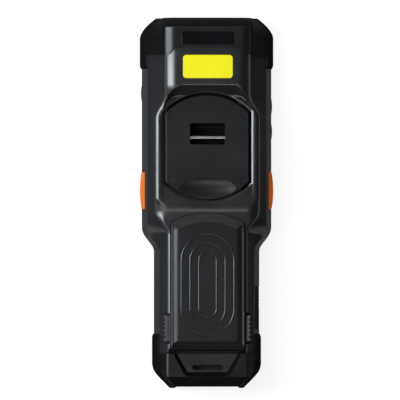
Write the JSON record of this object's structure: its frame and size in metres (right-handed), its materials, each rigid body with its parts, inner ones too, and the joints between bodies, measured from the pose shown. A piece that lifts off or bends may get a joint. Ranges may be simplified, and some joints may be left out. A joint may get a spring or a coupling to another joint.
{
  "type": "portable barcode data terminal",
  "caption": "Handheld data terminal with a scanner in its top end, side triggers, keypad and display, tilting battery pack, accessory plate and rubber end bumpers.",
  "frame": {"origin": "centre of the footprint, on the surface the front bumpers rest on", "axes": "+X across the body, to the right when seen from the back; +Y towards the scanner end; +Z from the keypad side to the back"},
  "size_m": [0.074, 0.205, 0.0358],
  "materials": {
    "housing": "fine moulded grain",
    "plate": "fine moulded grain",
    "battery_plastic": "fine moulded grain",
    "latch_plastic": "satin",
    "seal_rubber": "matte",
    "bumper_rubber": "matte",
    "cover_rubber": "matte",
    "bright_steel": "plain",
    "dark_screw": "black oxide",
    "gloss_black": "gloss",
    "yellow_label": "satin film",
    "cell_wrap": "blue shrink wrap over a can",
    "contact_gold": "gold plated",
    "orange": "satin",
    "side_key": "satin",
    "touch_glass": "polished, black printed border",
    "display": "satin",
    "chassis": "die cast",
    "board": "solder mask",
    "mat": "matte",
    "scan_window": "clear dark red",
    "module_black": "satin",
    "function_key": "satin",
    "number_key": "satin"
  },
  "bodies": {
    "device": {"front_housing": "housing", "rear_housing": "housing", "housing_seal": "seal_rubber", "top_bumper": "bumper_rubber", "bottom_bumper": "bumper_rubber", "accessory_plate": "plate", "strap_bar": "bright_steel", "plate_screws": "dark_screw", "housing_screws": "bright_steel", "nameplate": "gloss_black", "label_plate": "yellow_label", "battery_contacts": "contact_gold", "side_switches": "bright_steel", "port_hinge_pin": "bright_steel", "data_port": "bright_steel", "touch_glass": "touch_glass", "display_module": "display", "chassis_frame": "chassis", "main_board": "board", "shield_cans": "bright_steel", "keypad_board": "board", "keypad_mat": "mat", "dome_switches": "bright_steel", "scan_window": "scan_window", "scan_engine": "module_black", "speakers": "module_black", "earpiece": "module_black", "vibration_motor": "bright_steel", "antenna": "contact_gold", "cradle_contacts": "contact_gold"},
    "battery": {"battery_pack": "battery_plastic", "battery_cover": "battery_plastic", "battery_cells": "cell_wrap", "battery_terminals": "contact_gold"},
    "latch_left": {"latch_left": "latch_plastic"},
    "latch_right": {"latch_right": "latch_plastic"},
    "left_trigger": {"left_trigger": "orange"},
    "right_trigger": {"right_trigger": "orange"},
    "power_key": {"power_key": "side_key"},
    "volume_up_key": {"volume_up_key": "side_key"},
    "volume_down_key": {"volume_down_key": "side_key"},
    "port_cover": {"port_cover": "cover_rubber"},
    "scan_key": {"scan_key": "orange"},
    "function_key_left": {"function_key_left": "function_key"},
    "function_key_right": {"function_key_right": "function_key"},
    "key_1": {"key_1": "number_key"},
    "key_2": {"key_2": "number_key"},
    "key_3": {"key_3": "number_key"},
    "key_4": {"key_4": "number_key"},
    "key_5": {"key_5": "number_key"},
    "key_6": {"key_6": "number_key"},
    "key_7": {"key_7": "number_key"},
    "key_8": {"key_8": "number_key"},
    "key_9": {"key_9": "number_key"},
    "key_left": {"key_left": "number_key"},
    "key_0": {"key_0": "number_key"},
    "key_right": {"key_right": "number_key"}
  },
  "joints": [
    {"name": "battery_tilt", "type": "hinge", "parent": "device", "child": "battery", "pos_m": [0, -0.0053, 0.0285], "axis": [-1, 0, 0], "range_deg": [0, 35]},
    {"name": "latch_left_slide", "type": "slide", "parent": "battery", "child": "latch_left", "axis": [1, 0, 0], "range_m": [0, 0.0012], "stiffness_N_per_m": 600, "springref_m": -0.0005},
    {"name": "latch_right_slide", "type": "slide", "parent": "battery", "child": "latch_right", "axis": [-1, 0, 0], "range_m": [0, 0.0012], "stiffness_N_per_m": 600, "springref_m": -0.0005},
    {"name": "port_cover_hinge", "type": "hinge", "parent": "device", "child": "port_cover", "pos_m": [0.0277, -0.058, 0.0052], "axis": [0, 1, 0], "range_deg": [0, 100]},
    {"name": "left_trigger_press", "type": "slide", "parent": "device", "child": "left_trigger", "axis": [1, 0, 0], "range_m": [0, 0.0008], "stiffness_N_per_m": 600, "springref_m": -0.0003},
    {"name": "right_trigger_press", "type": "slide", "parent": "device", "child": "right_trigger", "axis": [-1, 0, 0], "range_m": [0, 0.0008], "stiffness_N_per_m": 600, "springref_m": -0.0003},
    {"name": "power_key_press", "type": "slide", "parent": "device", "child": "power_key", "axis": [1, 0, 0], "range_m": [0, 0.0005], "stiffness_N_per_m": 500, "springref_m": -0.0003},
    {"name": "volume_up_key_press", "type": "slide", "parent": "device", "child": "volume_up_key", "axis": [-1, 0, 0], "range_m": [0, 0.0005], "stiffness_N_per_m": 500, "springref_m": -0.0003},
    {"name": "volume_down_key_press", "type": "slide", "parent": "device", "child": "volume_down_key", "axis": [-1, 0, 0], "range_m": [0, 0.0005], "stiffness_N_per_m": 500, "springref_m": -0.0003},
    {"name": "scan_key_press", "type": "slide", "parent": "device", "child": "scan_key", "axis": [0, 0, 1], "range_m": [0, 0.0008], "stiffness_N_per_m": 400, "springref_m": -0.0003},
    {"name": "function_key_left_press", "type": "slide", "parent": "device", "child": "function_key_left", "axis": [0, 0, 1], "range_m": [0, 0.0008], "stiffness_N_per_m": 400, "springref_m": -0.0003},
    {"name": "function_key_right_press", "type": "slide", "parent": "device", "child": "function_key_right", "axis": [0, 0, 1], "range_m": [0, 0.0008], "stiffness_N_per_m": 400, "springref_m": -0.0003},
    {"name": "key_1_press", "type": "slide", "parent": "device", "child": "key_1", "axis": [0, 0, 1], "range_m": [0, 0.0008], "stiffness_N_per_m": 400, "springref_m": -0.0003},
    {"name": "key_2_press", "type": "slide", "parent": "device", "child": "key_2", "axis": [0, 0, 1], "range_m": [0, 0.0008], "stiffness_N_per_m": 400, "springref_m": -0.0003},
    {"name": "key_3_press", "type": "slide", "parent": "device", "child": "key_3", "axis": [0, 0, 1], "range_m": [0, 0.0008], "stiffness_N_per_m": 400, "springref_m": -0.0003},
    {"name": "key_4_press", "type": "slide", "parent": "device", "child": "key_4", "axis": [0, 0, 1], "range_m": [0, 0.0008], "stiffness_N_per_m": 400, "springref_m": -0.0003},
    {"name": "key_5_press", "type": "slide", "parent": "device", "child": "key_5", "axis": [0, 0, 1], "range_m": [0, 0.0008], "stiffness_N_per_m": 400, "springref_m": -0.0003},
    {"name": "key_6_press", "type": "slide", "parent": "device", "child": "key_6", "axis": [0, 0, 1], "range_m": [0, 0.0008], "stiffness_N_per_m": 400, "springref_m": -0.0003},
    {"name": "key_7_press", "type": "slide", "parent": "device", "child": "key_7", "axis": [0, 0, 1], "range_m": [0, 0.0008], "stiffness_N_per_m": 400, "springref_m": -0.0003},
    {"name": "key_8_press", "type": "slide", "parent": "device", "child": "key_8", "axis": [0, 0, 1], "range_m": [0, 0.0008], "stiffness_N_per_m": 400, "springref_m": -0.0003},
    {"name": "key_9_press", "type": "slide", "parent": "device", "child": "key_9", "axis": [0, 0, 1], "range_m": [0, 0.0008], "stiffness_N_per_m": 400, "springref_m": -0.0003},
    {"name": "key_left_press", "type": "slide", "parent": "device", "child": "key_left", "axis": [0, 0, 1], "range_m": [0, 0.0008], "stiffness_N_per_m": 400, "springref_m": -0.0003},
    {"name": "key_0_press", "type": "slide", "parent": "device", "child": "key_0", "axis": [0, 0, 1], "range_m": [0, 0.0008], "stiffness_N_per_m": 400, "springref_m": -0.0003},
    {"name": "key_right_press", "type": "slide", "parent": "device", "child": "key_right", "axis": [0, 0, 1], "range_m": [0, 0.0008], "stiffness_N_per_m": 400, "springref_m": -0.0003}
  ]
}
